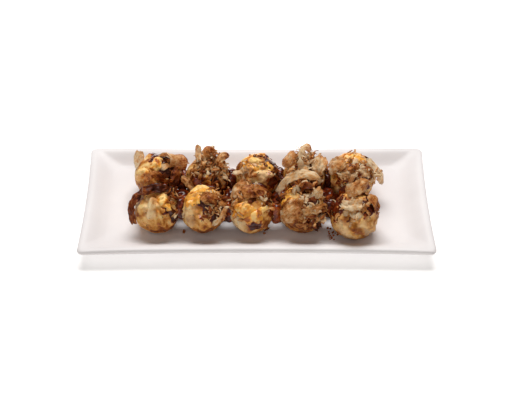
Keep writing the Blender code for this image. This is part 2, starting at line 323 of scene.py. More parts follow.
# %% [markdown]
# ## The balls
#
# A takoyaki ball is poured batter turned in a hot iron cup. Its skin is a rough sphere with creases where
# the batter was folded in, a flat spot where it rests, and flats where it leans on its neighbours. A
# sculpted mesh or a displacement modifier would do, but a radius worked out for each direction keeps
# every topping exactly on the skin, because the toppings can ask the same function how high it is.

# %% Read each ball's middle and radius from the frame
BALLS = {}
for name in sorted(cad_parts):
    if name.startswith("ball_"):
        low, high = (np.array(corner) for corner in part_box(name))
        radius = (high - low)[:2].mean() / 2
        middle = (low + high) / 2
        middle[2] = high[2] - radius
        BALLS[name.removeprefix("ball_")] = (middle, radius)
SEEDS = {name: 40 + number for number, name in enumerate(BALLS)}
for name, (middle, radius) in BALLS.items():
    print(name, "radius", round(radius / MM, 1), "mm")

# %% [markdown]
# ### Where things lie on a ball
#
# Folds and coats are rows of two tables. Each row has a ball and the two ends of a line on its skin, as
# azimuth and elevation in degrees, where azimuth -90 faces the camera and elevation 90 is the top. Then
# come the half-width in millimetres, and how high a fold is, in millimetres, or how strong a coat is.

# %% List the folds of batter and the coats
FOLDS = (
    ("front_1", (-112, 66), (-106, 26), 2.3, 2.8), ("front_1", (-100, 22), (-120, 6), 3.4, 0.8),
    ("front_1", (-68, 42), (-54, 6), 1.7, 1.6), ("front_1", (-52, 44), (-36, 6), 1.7, 1.4),
    ("front_1", (-82, 38), (-70, 2), 1.6, 1.6), ("front_1", (-84, 12), (-60, -20), 2.0, 0.9),
    ("front_5", (-100, 12), (-86, -20), 2.0, 0.9), ("front_2", (-112, 34), (-100, 12), 2.4, 0.9),
    ("front_1", (-150, 30), (-140, -20), 5.0, 0.6), ("front_2", (-155, 46), (-122, -6), 3.0, 1.6),
    ("front_2", (-88, 26), (-70, 2), 2.6, 1.2), ("front_2", (-104, 20), (-92, -14), 2.4, 1.0),
    ("front_3", (-145, 12), (-95, -18), 3.2, 1.2), ("front_3", (-70, 10), (-50, -14), 3.0, 1.0),
    ("front_4", (-130, 10), (-80, -14), 3.6, 0.9), ("front_4", (-64, 24), (-44, -10), 3.0, 1.0),
    ("front_5", (-132, 26), (-72, -4), 2.8, 1.4), ("front_5", (-110, 44), (-64, 18), 2.4, 1.2),
    ("front_5", (-60, 14), (-34, -16), 3.0, 1.0), ("back_3", (-84, 50), (-44, 44), 2.6, 1.6),
    ("back_3", (-72, 36), (-38, 34), 2.6, 1.3), ("back_2", (-130, 30), (-100, 5), 3.4, 1.0),
    ("back_5", (-30, 50), (-10, 0), 4.0, 1.0), ("back_4", (150, 30), (120, -10), 4.0, 1.2),
    ("back_1", (120, 40), (70, 0), 4.0, 1.2), ("back_3", (60, 40), (110, 5), 3.5, 1.3),
)
COATS = (
    ("back_1", "sauce", (10, 74), (-32, 42), 10, 1.1), ("back_1", "sauce", (-52, 39), (-62, 16), 5, 0.8),
    ("back_1", "mayo", (-128, 36), (-150, 20), 3.5, 0.6),
    ("back_1", "brown", (-111, 30), (-142, 0), 7, 0.6), ("back_2", "sauce", (-98, 62), (-42, 28), 9, 1.2),
    ("back_2", "sauce", (-134, 50), (-122, 22), 6, 0.7), ("back_2", "sauce", (23, 81), (60, 60), 9, 0.8),
    ("back_2", "brown", (-4, 11), (-60, 0), 9, 0.8), ("back_3", "sauce", (36, 68), (-8, 46), 9, 1.0),
    ("back_3", "brown", (-49, 22), (-18, 12), 7, 0.9), ("back_3", "sauce", (-40, 20), (-16, 24), 6, 0.9),
    ("back_3", "pale", (-72, 50), (-46, 42), 6, 0.8), ("back_4", "sauce", (-73, 70), (-102, 39), 9, 1.1),
    ("back_4", "sauce", (-55, 34), (-60, 8), 7, 0.9), ("back_4", "brown", (-132, 28), (-120, 0), 8, 0.6),
    ("back_5", "sauce", (-104, 60), (-130, 36), 7, 0.7), ("back_5", "sauce", (-84, 40), (-58, 26), 8, 0.8),
    ("back_5", "sauce", (-40, 60), (-20, 50), 6, 0.7), ("front_1", "sauce", (-46, 44), (-36, 8), 5.5, 1.0),
    ("front_1", "brown", (-95, -22), (-62, -22), 6.5, 0.9),
    ("front_1", "brown", (-127, -20), (-110, -14), 6, 0.6),
    ("front_1", "pale", (-118, 60), (-108, 28), 5, 1.1), ("front_1", "mayo", (-52, 56), (-42, 44), 4, 0.8),
    ("front_2", "mayo", (158, 50), (62, 58), 6.5, 1.0),
    ("front_2", "mayo", (-150, 62), (-160, 46), 5.0, 1.0),
    ("back_3", "mayo", (-170, 44), (-26, 60), 4.5, 0.9), ("back_5", "mayo", (150, 62), (40, 72), 8, 0.9),
    ("front_3", "mayo", (-140, 34), (-80, 34), 6, 0.8), ("front_2", "sauce", (-76, 66), (-54, 26), 8, 1.3),
    ("front_2", "sauce", (-58, 42), (-36, 34), 6, 1.0),
    ("front_2", "brown", (-60, -20), (-100, -28), 8, 0.8),
    ("front_2", "pale", (-145, 46), (-130, 0), 6, 0.7), ("front_3", "sauce", (-86, 2), (-74, 2), 4.5, 1.1),
    ("front_3", "brown", (-60, -4), (-36, 8), 7, 0.8), ("front_3", "pale", (-130, 16), (-120, -4), 7, 0.9),
    ("front_3", "sauce", (-28, 14), (-16, 30), 5, 0.7), ("front_4", "sauce", (172, 40), (-150, 28), 6, 0.8),
    ("front_4", "mayo", (150, 52), (-158, 38), 5.5, 0.9),
    ("front_4", "sauce", (-76, 60), (-60, 16), 8, 1.0),
    ("front_4", "brown", (-108, -4), (-70, -10), 9, 0.9),
    ("front_5", "sauce", (174, 48), (-160, 26), 7, 0.8),
    ("front_5", "sauce", (-46, 56), (10, 36), 7.5, 1.0), ("front_5", "brown", (-95, 8), (-60, -8), 6, 0.8),
    ("front_5", "pale", (-128, 10), (-108, -18), 6, 0.8), ("front_5", "pale", (-74, 20), (-52, -18), 4, 0.7),
    ("front_5", "brown", (-130, -6), (-115, -20), 6, 0.5), ("back_1", "sauce", (100, 60), (90, 20), 6, 0.8),
    ("back_2", "sauce", (80, 60), (120, 26), 6, 0.9), ("back_3", "mayo", (110, 56), (80, 30), 5, 0.8),
    ("back_4", "sauce", (70, 60), (60, 16), 7, 0.9), ("back_5", "sauce", (110, 50), (70, 24), 7, 0.9),
    ("back_1", "brown", (70, 0), (120, -10), 8, 0.8), ("back_4", "brown", (90, 10), (130, -10), 8, 0.8),
    ("back_5", "brown", (20, 0), (60, -10), 9, 0.7),
)
SAUCE_THICKNESS = 0.45 * MM
MAYO_SMEAR_THICKNESS = 0.9 * MM
print("folds:", len(FOLDS), "and coats:", len(COATS))

# %% [markdown]
# ### How far a point is from a line on the ball
#
# That distance gives both the height of a fold and the edge of a coat. Painting by hand would do for the
# coats, but a distance can be asked anywhere, at any fineness. Noise breaks the edges, as sauce runs.

# %% Measure distances on the skin


def unit(azimuth, elevation):
    """The unit direction of an azimuth and an elevation in degrees."""
    a, e = math.radians(azimuth), math.radians(elevation)
    return np.array([math.cos(a) * math.cos(e), math.sin(a) * math.cos(e), math.sin(e)])


def line_distance(directions, start, end, radius):
    """Distance on a ball of each direction's point from the line between two directions."""
    a, b = unit(*start), unit(*end)
    share = np.clip((directions - a) @ (b - a) / max(np.dot(b - a, b - a), 1e-9), 0, 1)[:, None]
    nearest = a + share * (b - a)
    nearest /= np.linalg.norm(nearest, axis=1, keepdims=True)
    return np.linalg.norm(directions - nearest, axis=1) * radius


def coats(ball, directions):
    """Columns of sauce, mayonnaise, browning and paleness, from 0 up, with edges broken by noise. The
    browning also holds painted shade: it grows towards the bottom of each ball.
    """
    radius = BALLS[ball][1]
    skin = directions * radius
    edge = 0.34 * rough(skin, 7 * MM, SEEDS[ball] + 100, 3)
    found = {key: np.zeros(len(directions)) for key in ("sauce", "mayo", "brown", "pale")}
    for owner, key, start, end, half_width, strength in COATS:
        if owner == ball:
            share = line_distance(directions, start, end, radius) / (half_width * MM)
            soft = 0.9 if key in ("brown", "pale") else 0.3
            found[key] = np.maximum(found[key], strength * smooth_step(1 + soft / 2, 1 - soft, share + edge))
    # Random browning, plus painted shade: the last term makes the lower half of each ball browner.
    toast_and_painted_low_shade = 0.3 + 0.26 * rough(skin, 11 * MM, SEEDS[ball] + 200, 3) - 0.35 * directions[:, 2].clip(-1, 0)
    found["brown"] = np.clip(np.maximum(found["brown"], toast_and_painted_low_shade), 0, 1)
    return np.column_stack([found[key] for key in ("sauce", "mayo", "brown", "pale")])


print("the front of ball front_1 carries", coats("front_1", unit(-90, 0)[None]).round(2)[0])

# %% [markdown]
# ### The radius in each direction
#
# The bare skin comes first, then the thickness of the sauce or mayonnaise on it, and last the flats where
# the ball rests on the tray and leans on its neighbours, so that no two balls pass through each other.

# %% Work out the radius


def batter_reach(ball, directions):
    """Radius of the bare skin: a sphere with slow lumps, wrinkles, blisters and folds. A fold is a ridge
    with a shallow groove on each side."""
    radius = BALLS[ball][1]
    seed = SEEDS[ball]
    skin = directions * radius
    wrinkle = 1 - 2 * np.abs(rough(skin, 13 * MM, seed + 1, 2))
    reach = radius - 0.4 * MM + 0.6 * MM * rough(skin, 26 * MM, seed, 1)
    reach += 0.3 * MM * wrinkle.clip(-1, 1) + 0.15 * MM * rough(skin, 3.4 * MM, seed + 2, 3)
    for owner, start, end, width, height in FOLDS:
        if owner == ball:
            share = (line_distance(directions, start, end, radius) + 0.5 * MM * wrinkle) / (width * MM)
            reach += 1.3 * height * MM * (np.exp(-(share**2)) - 0.45 * np.exp(-((share - 1.7) ** 2) * 2))
    return reach


def held_in(ball, directions, reach):
    """Cuts the radius flat at the tray's floor and half-way to each neighbouring ball."""
    middle, radius = BALLS[ball]
    down = np.maximum(-directions[:, 2], 1e-6)
    reach = np.minimum(reach, (middle[2] - FLOOR_HEIGHT - 0.05 * MM) / down)
    for other, (place, other_radius) in BALLS.items():
        if other != ball:
            between = place - middle
            apart = np.linalg.norm(between)
            plane = (apart**2 + radius**2 - other_radius**2) / (2 * apart) - 0.05 * MM
            reach = np.minimum(reach, plane / np.maximum(directions @ between / apart, 1e-6))
    return reach


def ball_reach(ball, directions):
    """Radius of the dressed skin: the batter, plus its coats, held in by the tray and the neighbours."""
    coat = coats(ball, directions)
    thickness = SAUCE_THICKNESS * coat[:, 0] + MAYO_SMEAR_THICKNESS * coat[:, 1]
    return held_in(ball, directions, batter_reach(ball, directions) + thickness)


top_of_ball = np.array([[0.0, 0.0, 1.0]])
print("front_1 is", round(2 * ball_reach("front_1", top_of_ball)[0] / MM, 1), "mm across at its top")

# %% [markdown]
# ### Fried batter under sauce
#
# The batter is wheat flour, egg and dashi fried in oil: cream where it set late, golden where it touched
# the iron, and brown to dark brown where it stayed longest, in blotches a few millimetres wide. Fresh
# from the oil it is a little shiny. Takoyaki sauce is a thick brown fruit and soy glaze: a thin film of
# it is orange-red, a thick one nearly black, and it is the shiniest thing on the dish. The mesh carries
# how much sauce, mayonnaise, browning and paleness each point has, and noise breaks up the edges. The
# browning also holds painted shade, which makes each ball browner towards its bottom.

# %% Mix the batter's finish
batter, tree, output = new_material("fried_batter_with_sauce")
place = node(tree, "TexCoord").outputs["Object"]
coat = node(tree, "Attribute", attribute_name="coat")
parts = node(tree, "SeparateColor", {0: coat.outputs["Color"]})
blotch = node(tree, "TexNoise", {"Vector": place, "Scale": 260.0, "Detail": 4.0, "Roughness": 0.6})
grain = node(tree, "TexNoise", {"Vector": place, "Scale": 1100.0, "Detail": 3.0, "Roughness": 0.6})
fleck = node(tree, "TexVoronoi", {"Vector": place, "Scale": 420.0, "Randomness": 1.0})
browning = node(tree, "Math", {0: blotch.outputs["Fac"], 1: 0.9, 2: -0.45}, operation="MULTIPLY_ADD")
# The browning read here includes painted shade on the lower half of each ball.
browned_and_shaded = node(tree, "Math", {0: parts.outputs[2], 1: browning.outputs[0]}, operation="ADD")
batter_colour = node(tree, "ValToRGB", {"Fac": browned_and_shaded.outputs[0]}, stops=(
    (0.0, linear("#f2cc8a")), (0.25, linear("#e2a85c")), (0.5, linear("#c27e34")),
    (0.75, linear("#8e4a17")), (1.0, linear("#54260a"))))
paled = node(tree, "Math", {0: coat.outputs["Alpha"], 1: 0.75}, operation="MULTIPLY")
pale_batter = node(tree, "Mix", {
    0: paled.outputs[0], 6: batter_colour.outputs["Color"], 7: linear("#f2d8a8")}, data_type="RGBA")
speck = node(tree, "ValToRGB", {"Fac": fleck.outputs["Distance"]},
             stops=((0.06, linear("#ffffff")), (0.14, linear("#000000"))))
speckled = node(tree, "Mix", {0: speck.outputs["Color"], 6: pale_batter.outputs[2], 7: linear("#6b4a1c")},
                data_type="RGBA")
sauce_edge = node(tree, "Math", {0: blotch.outputs["Fac"], 1: 1.3, 2: -0.65}, operation="MULTIPLY_ADD")
sauce_depth = node(tree, "Math", {0: parts.outputs[0], 1: sauce_edge.outputs[0]}, operation="ADD")
sauce_colour = node(tree, "ValToRGB", {"Fac": sauce_depth.outputs[0]}, stops=(
    (0.1, linear("#c87020")), (0.4, linear("#9c440e")), (0.7, linear("#6c2408")), (1.0, linear("#431204"))))
sauce_cover = node(tree, "MapRange", {0: sauce_depth.outputs[0], 1: 0.08, 2: 0.42})
sauced = node(tree, "Mix", {
    0: sauce_cover.outputs[0], 6: speckled.outputs[2], 7: sauce_colour.outputs["Color"]}, data_type="RGBA")
mayo_edge = node(tree, "Math", {0: parts.outputs[1], 1: sauce_edge.outputs[0]}, operation="ADD")
mayo_cover = node(tree, "MapRange", {0: mayo_edge.outputs[0], 1: 0.2, 2: 0.5})
mayo_colour = node(tree, "ValToRGB", {"Fac": blotch.outputs["Fac"]}, stops=(
    (0.3, linear("#ffcc74")), (0.5, linear("#f8b048")), (0.72, linear("#d88428"))))
topped = node(tree, "Mix", {0: mayo_cover.outputs[0], 6: sauced.outputs[2], 7: mayo_colour.outputs["Color"]},
              data_type="RGBA")
wetness = node(tree, "Math", {0: sauce_cover.outputs[0], 1: mayo_cover.outputs[0]}, operation="MAXIMUM")
gloss = node(tree, "MapRange", {0: wetness.outputs[0], 3: 0.5, 4: 0.16})
film = node(tree, "MapRange", {0: wetness.outputs[0], 3: 0.0, 4: 0.4})
crumb = node(tree, "Mix", {0: 0.5, 2: blotch.outputs["Fac"], 3: grain.outputs["Fac"]})
calm = node(tree, "MapRange", {0: wetness.outputs[0], 3: 1.0, 4: 0.4})
batter_bump = node(tree, "Bump", {
    "Height": crumb.outputs[0], "Strength": calm.outputs[0], "Distance": 0.0007})
shader = node(tree, "BsdfPrincipled", {
    "Base Color": topped.outputs[2], "Roughness": gloss.outputs[0], "IOR": 1.45,
    "Normal": batter_bump.outputs["Normal"], "Specular IOR Level": 0.25, "Coat Weight": film.outputs[0],
    "Coat Roughness": 0.2, "Subsurface Weight": 0.12,
    "Subsurface Radius": (1.0, 0.5, 0.25), "Subsurface Scale": 0.0016})
tree.links.new(shader.outputs[0], output.inputs[0])
print("batter shader nodes:", len(tree.nodes))

# %% [markdown]
# ### Ball surfaces
#
# Directions run in rings from the bottom pole to the top one, and the radius function does the rest.

# %% Make the ten balls
BALL_ROWS = 96
BALL_COLUMNS = 168


def sphere_directions(rows, columns):
    """Unit directions in rings of equal latitude, and then the bottom and top poles."""
    latitude = np.linspace(-math.pi / 2, math.pi / 2, rows + 2)[1:-1, None]
    longitude = np.linspace(0, 2 * math.pi, columns, endpoint=False)[None, :]
    x = np.cos(latitude) * np.cos(longitude)
    y = np.cos(latitude) * np.sin(longitude)
    z = np.broadcast_to(np.sin(latitude), x.shape)
    return np.concatenate([np.stack([x, y, z], -1).reshape(-1, 3), [[0, 0, -1], [0, 0, 1]]])


def sphere_faces(rows, columns):
    """Quads between the rings, and a fan of triangles to each pole."""
    return [
        grid_faces(rows, columns, closed=True),
        cap_faces(np.arange(columns), rows * columns, flip=True),
        cap_faces(np.arange(columns) + (rows - 1) * columns, rows * columns + 1, flip=False),
    ]


directions = sphere_directions(BALL_ROWS, BALL_COLUMNS)
for name, (middle, radius) in BALLS.items():
    points = middle + directions * ball_reach(name, directions)[:, None]
    new_piece(f"batter_ball_{name}", points, sphere_faces(BALL_ROWS, BALL_COLUMNS), batter,
              [f"ball_{name}"], {"coat": coats(name, directions)})
print("ten balls of", len(directions), "points")

# %% [markdown]
# ### Sauce, scraps and painted shade in the gaps
#
# Sauce runs down between the balls and glues soaked scraps of batter and flakes there. The dark webs in
# the gaps stand partly for those and partly for the shade between the balls: they are painted shade, so
# the gaps read dark and not as the white of the tray. Each web is a lumpy ball squeezed between its
# neighbours: points that would fall inside one of them are moved out to its skin. A row has the two balls
# it lies between, its shift and radii in millimetres, and how dark it is, from sauce and painted shade.

# %% Fill the gaps
# Each web is dark sauce and scraps, and partly painted shade in the gap between the balls.
SAUCE_WEBS_AND_GAP_SHADE = (
    ("front_1", "front_2", (0, 0, 1), (7, 8, 9), 0.9), ("front_2", "front_3", (0, -1, 0), (7, 8, 9), 0.8),
    ("front_3", "front_4", (-1, -3, 0), (7, 7, 10), 0.5), ("front_4", "front_5", (0, 3, 2), (8, 8, 9), 0.9),
    ("back_1", "back_2", (0, -2, -1), (8, 9, 10), 0.9), ("back_2", "back_3", (0, -2, -1), (7, 9, 10), 0.9),
    ("back_3", "back_4", (0, -2, -2), (7, 9, 10), 1.0), ("back_4", "back_5", (0, -2, -2), (7, 9, 10), 1.0),
    ("front_1", "back_1", (0, 0, 2), (11, 6, 9), 0.8), ("front_2", "back_2", (0, 0, 2), (11, 6, 9), 1.0),
    ("front_3", "back_3", (0, 0, 2), (11, 6, 9), 0.9), ("front_4", "back_4", (0, 0, 2), (11, 6, 9), 1.0),
    ("front_5", "back_5", (0, 1, 1), (11, 7, 9), 0.8), ("front_1", "back_2", (0, 0, -6), (9, 9, 8), 1.0),
    ("front_2", "back_3", (0, 0, -6), (9, 9, 8), 1.0), ("front_3", "back_4", (0, 0, -6), (9, 9, 8), 1.0),
    ("front_4", "back_5", (0, 0, -6), (9, 9, 8), 1.0),
)
WEB_ROWS = 30
WEB_COLUMNS = 60
WEB_LUMPINESS = 0.13


def pushed_clear(points, clearance):
    """Moves points that are in or too near a ball straight out from its middle."""
    for name, (middle, radius) in BALLS.items():
        away = points - middle
        distance = np.linalg.norm(away, axis=1)
        near = distance < radius + 3.5 * MM
        if near.any():
            directions = away[near] / distance[near, None]
            clear = np.maximum(distance[near], ball_reach(name, directions) + clearance)
            points[near] = middle + directions * clear[:, None]
    return points


web_directions = sphere_directions(WEB_ROWS, WEB_COLUMNS)
web_points, web_coats = [], []
for number, (one, other, shift, radii, web_darkness) in enumerate(SAUCE_WEBS_AND_GAP_SHADE):
    skin = web_directions * np.array(radii) * MM
    lumps = 1 + WEB_LUMPINESS * rough(skin, 10 * MM, 700 + 3 * number, 2)
    points = (BALLS[one][0] + BALLS[other][0]) / 2 + np.array(shift) * MM + skin * lumps[:, None]
    points[:, 2] = np.maximum(points[:, 2], FLOOR_HEIGHT + 0.3 * MM)
    web_points.append(pushed_clear(points, 0.1 * MM))
    # The web's sauce colour is partly painted shade between the balls.
    web_sauce_and_shade = np.clip(web_darkness + 0.35 * rough(skin, 6 * MM, 701 + 3 * number, 3), 0, 1.2)
    web_coats.append(np.column_stack([web_sauce_and_shade, 0 * web_sauce_and_shade, 0 * web_sauce_and_shade + 0.8, 0 * web_sauce_and_shade]))
one_web = sphere_faces(WEB_ROWS, WEB_COLUMNS)
web_faces = [joined(part, len(web_directions), len(SAUCE_WEBS_AND_GAP_SHADE)) for part in one_web]
new_piece("sauce_scraps_and_painted_gap_shade", np.concatenate(web_points), web_faces, batter, (),
          {"coat": np.concatenate(web_coats)})
print("webs of sauce:", len(SAUCE_WEBS_AND_GAP_SHADE))

# %% [markdown]
# ## Mayonnaise
#
# Japanese mayonnaise is piped on and browned with a torch, which turns it from cream to orange. It is
# thick enough to keep its ridges. Each dollop is a sphere wrapped on the skin of its ball: one of its
# axes runs along a line on the ball, one across it, and the third is height, to which lumps are added.
# A row has the ball, the two ends of the line, and the width, thickness and sideways sway in millimetres.

# %% Shape the mayonnaise
DOLLOPS = {
    "mayo_back_1_top": ("back_1", (20, 76), (-108, 62), 8.5, 3.2, 1.6),
    "mayo_back_1_side": ("back_1", (-112, 50), (-158, 32), 6.5, 2.4, 0.0),
    "mayo_back_2_front": ("back_2", (-84, 52), (-86, 24), 3.6, 2.0, 0.8),
    "mayo_back_3_top": ("back_3", (160, 46), (-22, 66), 6.0, 2.4, -1.0),
    "mayo_back_5_top": ("back_5", (158, 56), (60, 76), 8.0, 2.2, 0.0),
    "mayo_front_1_top": ("front_1", (-84, 68), (-34, 54), 8.5, 2.2, 0.6),
    "mayo_front_2_top": ("front_2", (158, 44), (62, 52), 6.5, 2.4, 0.6),
    "mayo_front_3_lump": ("front_3", (-146, 36), (-96, 50), 8.5, 3.4, 0.0),
    "mayo_front_3_band": ("front_3", (-106, 18), (-34, 38), 7.0, 2.2, 1.2),
}
DOLLOP_ROWS = 36
DOLLOP_COLUMNS = 72


def dollop(owner, start, end, width, thickness, sway, seed):
    """A unit sphere laid along a line on the ball. Its outline is broken by noise, and its top is lumpy."""
    middle, radius = BALLS[owner]
    x, y, z = sphere_directions(DOLLOP_ROWS, DOLLOP_COLUMNS).T
    a, b = unit(*start), unit(*end)
    side = np.cross(a, b)
    side /= np.linalg.norm(side)
    flat = np.column_stack([x * np.linalg.norm(b - a) * radius / 2, y * width * MM / 2, 0 * z])
    ragged = 1 + 0.22 * rough(flat, 6 * MM, seed, 2) * np.hypot(x, y)
    along = a + np.outer((x * ragged + 1) / 2, b - a)
    across = (y * ragged * width * MM / 2 + sway * MM * np.sin(x * math.pi)) / radius
    directions = along + np.outer(across, side)
    directions /= np.linalg.norm(directions, axis=1, keepdims=True)
    lumps = 1 + 0.35 * rough(flat, 5 * MM, seed + 1, 3) * z.clip(0, 1)
    rise = np.where(z > 0, 0.12 + 0.88 * z**0.8 * lumps, 0.12 * (1 + z)) * thickness * MM
    skin = held_in(owner, directions, batter_reach(owner, directions))
    height = rise / (thickness * MM)
    burnt = 0.5 + 0.6 * rough(flat, 7 * MM, seed + 2, 3) - 0.45 * height
    tone = np.column_stack([burnt.clip(0, 1), height.clip(0, 1), 0 * z, 0 * z + 1])
    return middle + directions * (skin + 0.15 * MM + rise)[:, None], tone


print("each dollop has", len(sphere_directions(DOLLOP_ROWS, DOLLOP_COLUMNS)), "points")

# %% [markdown]
# ### Torched mayonnaise
#
# An egg and oil emulsion: smooth, creamy and slightly see-through, so light goes a millimetre or two
# into it before coming back. Thick ridges stay pale yellow-orange, while thin edges and hot spots are
# burnt to a darker orange-brown.

# %% Colour the mayonnaise and lay it on
mayonnaise, tree, output = new_material("torched_mayonnaise")
place = node(tree, "TexCoord").outputs["Object"]
tone = node(tree, "SeparateColor", {0: node(tree, "Attribute", attribute_name="tone").outputs["Color"]})
spot = node(tree, "TexNoise", {"Vector": place, "Scale": 420.0, "Detail": 3.0, "Roughness": 0.55})
scorch = node(tree, "Math", {0: spot.outputs["Fac"], 1: 0.7, 2: -0.35}, operation="MULTIPLY_ADD")
burn = node(tree, "Math", {0: tone.outputs[0], 1: scorch.outputs[0]}, operation="ADD")
mayo_colour = node(tree, "ValToRGB", {"Fac": burn.outputs[0]}, stops=(
    (0.0, linear("#ffd284")), (0.3, linear("#fbb650")), (0.6, linear("#ea9430")), (0.95, linear("#b2601c"))))
mayo_bump = node(tree, "Bump", {"Height": spot.outputs["Fac"], "Strength": 0.35, "Distance": 0.0005})
shader = node(tree, "BsdfPrincipled", {
    "Base Color": mayo_colour.outputs["Color"], "Roughness": 0.3, "IOR": 1.47,
    "Normal": mayo_bump.outputs["Normal"], "Subsurface Weight": 0.2,
    "Subsurface Radius": (1.0, 0.6, 0.3), "Subsurface Scale": 0.002})
tree.links.new(shader.outputs[0], output.inputs[0])
for number, (name, row) in enumerate(DOLLOPS.items()):
    points, tone_values = dollop(*row, seed=300 + 5 * number)
    new_piece(f"torched_{name}", points, sphere_faces(DOLLOP_ROWS, DOLLOP_COLUMNS), mayonnaise,
              [name], {"tone": tone_values})
print("dollops of mayonnaise:", len(DOLLOPS))

# %% [markdown]
# ## Bonito flakes
#
# Katsuobushi is dried, smoked fish shaved thinner than paper. The heat and steam of the balls make the
# shavings curl, stand up and stick. Cloth simulation would drape them, but they are stiff and torn, so
# each is a strip along a parabola through three guide points, rolled across its width, crumpled by noise
# and given torn edges. Points that would fall inside a ball are moved out to its skin, which wraps the
# strip over the ball. A row has the ball, the three points in millimetres from its middle, the width, the
# azimuth and elevation that the flake faces, its roll in degrees, and its tone, from 0 for pale to 1.

# %% Shape the large flakes
FLAKES = {
    "flake_back_1_leaf": ("back_1", (-15, -1, 8), (-16, 5, 15), (-15, 9, 22), 9, (-90, 20), 40, 0.06),
    "flake_back_1_arch": ("back_1", (-10, -18, 9), (-1, -19, 20), (8, -18, 9), 6, (-90, 50), 20, 0.62),
    "flake_back_1_scroll": ("back_1", (12, -5, 25), (18, 0, 19), (26, 6, 12), 33, (-30, 40), 285, 0.36),
    "flake_back_1_rust": ("back_1", (15, -8, 16), (17, -14, 11), (14, -19, 3), 8, (-60, 20), 30, 0.8),
    "flake_back_2_tan": ("back_2", (-22, -8, 9), (-17, -13, 7), (-11, -17, 4), 7, (-110, 40), 40, 0.35),
    "flake_back_2_pale": ("back_2", (-7, -3, 22), (-8, 4, 26), (-7, 8, 31), 6, (-100, 20), 40, 0.15),
    "flake_back_2_peak": ("back_2", (-1, -4, 22), (1, 2, 29), (7, 3, 27), 8, (-80, 30), 130, 0.4),
    "flake_back_2_right": ("back_2", (9, -5, 20), (14, 2, 23), (18, 5, 20), 8, (-60, 35), 120, 0.36),
    "flake_back_4_left": ("back_4", (-17, -3, 13), (-14, -1, 20), (-8, 4, 24), 9, (-110, 30), 60, 0.3),
    "flake_back_4_tuft": ("back_4", (-5, -3, 23), (0, 2, 30), (5, 5, 25), 8, (-90, 20), 150, 0.1),
    "flake_back_4_right": ("back_4", (8, -13, 16), (13, -8, 20), (17, 7, 19), 13, (-50, 50), 50, 0.12),
    "flake_back_5_left": ("back_5", (-21, 2, 8), (-16, -5, 18), (-7, -5, 23), 13, (-120, 50), 40, 0.16),
    "flake_back_5_right": ("back_5", (11, -2, 20), (21, -3, 11), (26, -7, -1), 9, (-20, 40), 30, 0.02),
    "flake_front_1_wrap": ("front_1", (-19, -12, -5), (-21, -4, 11), (-9, 4, 20), 8.5, (-140, 35), 60, 0.8),
    "flake_front_1_dark": ("front_1", (-14, 1, 20), (-3, 0, 24), (10, 7, 19), 8, (-90, 60), 30, 0.9),
    "flake_front_2_brown": ("front_2", (0, -9, 19), (6, -6, 21), (12, -7, 16), 10, (-60, 60), 30, 0.6),
    "flake_front_2_pink": ("front_2", (9, -20, 1), (15, -15, 7), (19, -8, 10), 6, (-50, 20), 50, 0.22),
    "flake_front_3_leaf": ("front_3", (-16, 3, 13), (-12, 8, 19), (-6, 14, 22), 7, (-120, 40), 30, 0.3),
    "flake_front_3_crumple": ("front_3", (-8, -1, 21), (3, 1, 23), (16, 6, 13), 13, (-70, 70), 40, 0.6),
    "flake_front_4_arch": ("front_4", (-22, 6, 12), (-7, 6, 33), (14, 5, 30), 7, (-80, 60), 30, 0.08),
    "flake_front_4_ring": ("front_4", (2, 8, 24), (3, 3, 25), (4, -2, 25), 26, (90, 80), 320, 0.75),
    "flake_front_4_stand": ("front_4", (7, -12, 19), (11, -8, 24), (15, -3, 26), 9, (-70, 20), 50, 0.16),
    "flake_front_4_lower": ("front_4", (-19, -8, -6), (-13, -17, 10), (-3, -17, 18), 14, (-120, 30), 30, 0.3),
    "flake_front_4_mid": ("front_4", (-1, -19, 14), (8, -17, 15), (20, -9, 11), 8, (-60, 40), 40, 0.36),
    "flake_front_4_dark": ("front_4", (6, -22, 6), (9, -21, 2), (14, -17, -7), 8, (-50, 10), 30, 0.85),
    "flake_front_5_top": ("front_5", (-8, 3, 22), (1, 5, 27), (11, 14, 24), 12, (-80, 40), 40, 0.3),
    "flake_front_5_white": ("front_5", (-12, -6, 20), (-4, -11, 22), (6, -8, 22), 9, (-90, 50), 30, 0.0),
    "flake_front_5_brown": ("front_5", (11, 3, 20), (16, -1, 18), (19, -6, 11), 11, (-10, 50), 20, 0.55),
}
FLAKE_STEPS = 41
FLAKE_ROWS = 17
FLAKE_THICKNESS = 0.2 * MM
FLAKE_CLEARANCE = 0.35 * MM
# Past this many degrees of roll a flake is a tube: nearly smooth, and flared at its mouths.
ROLLED_UP = 200
MOUTH_FLARE = 0.25
END_TAPER = 0.4
TUBE_CRUMPLE = 0.25 * MM
LOOSE_CRUMPLE = 0.8 * MM
EDGE_TEAR = 0.12


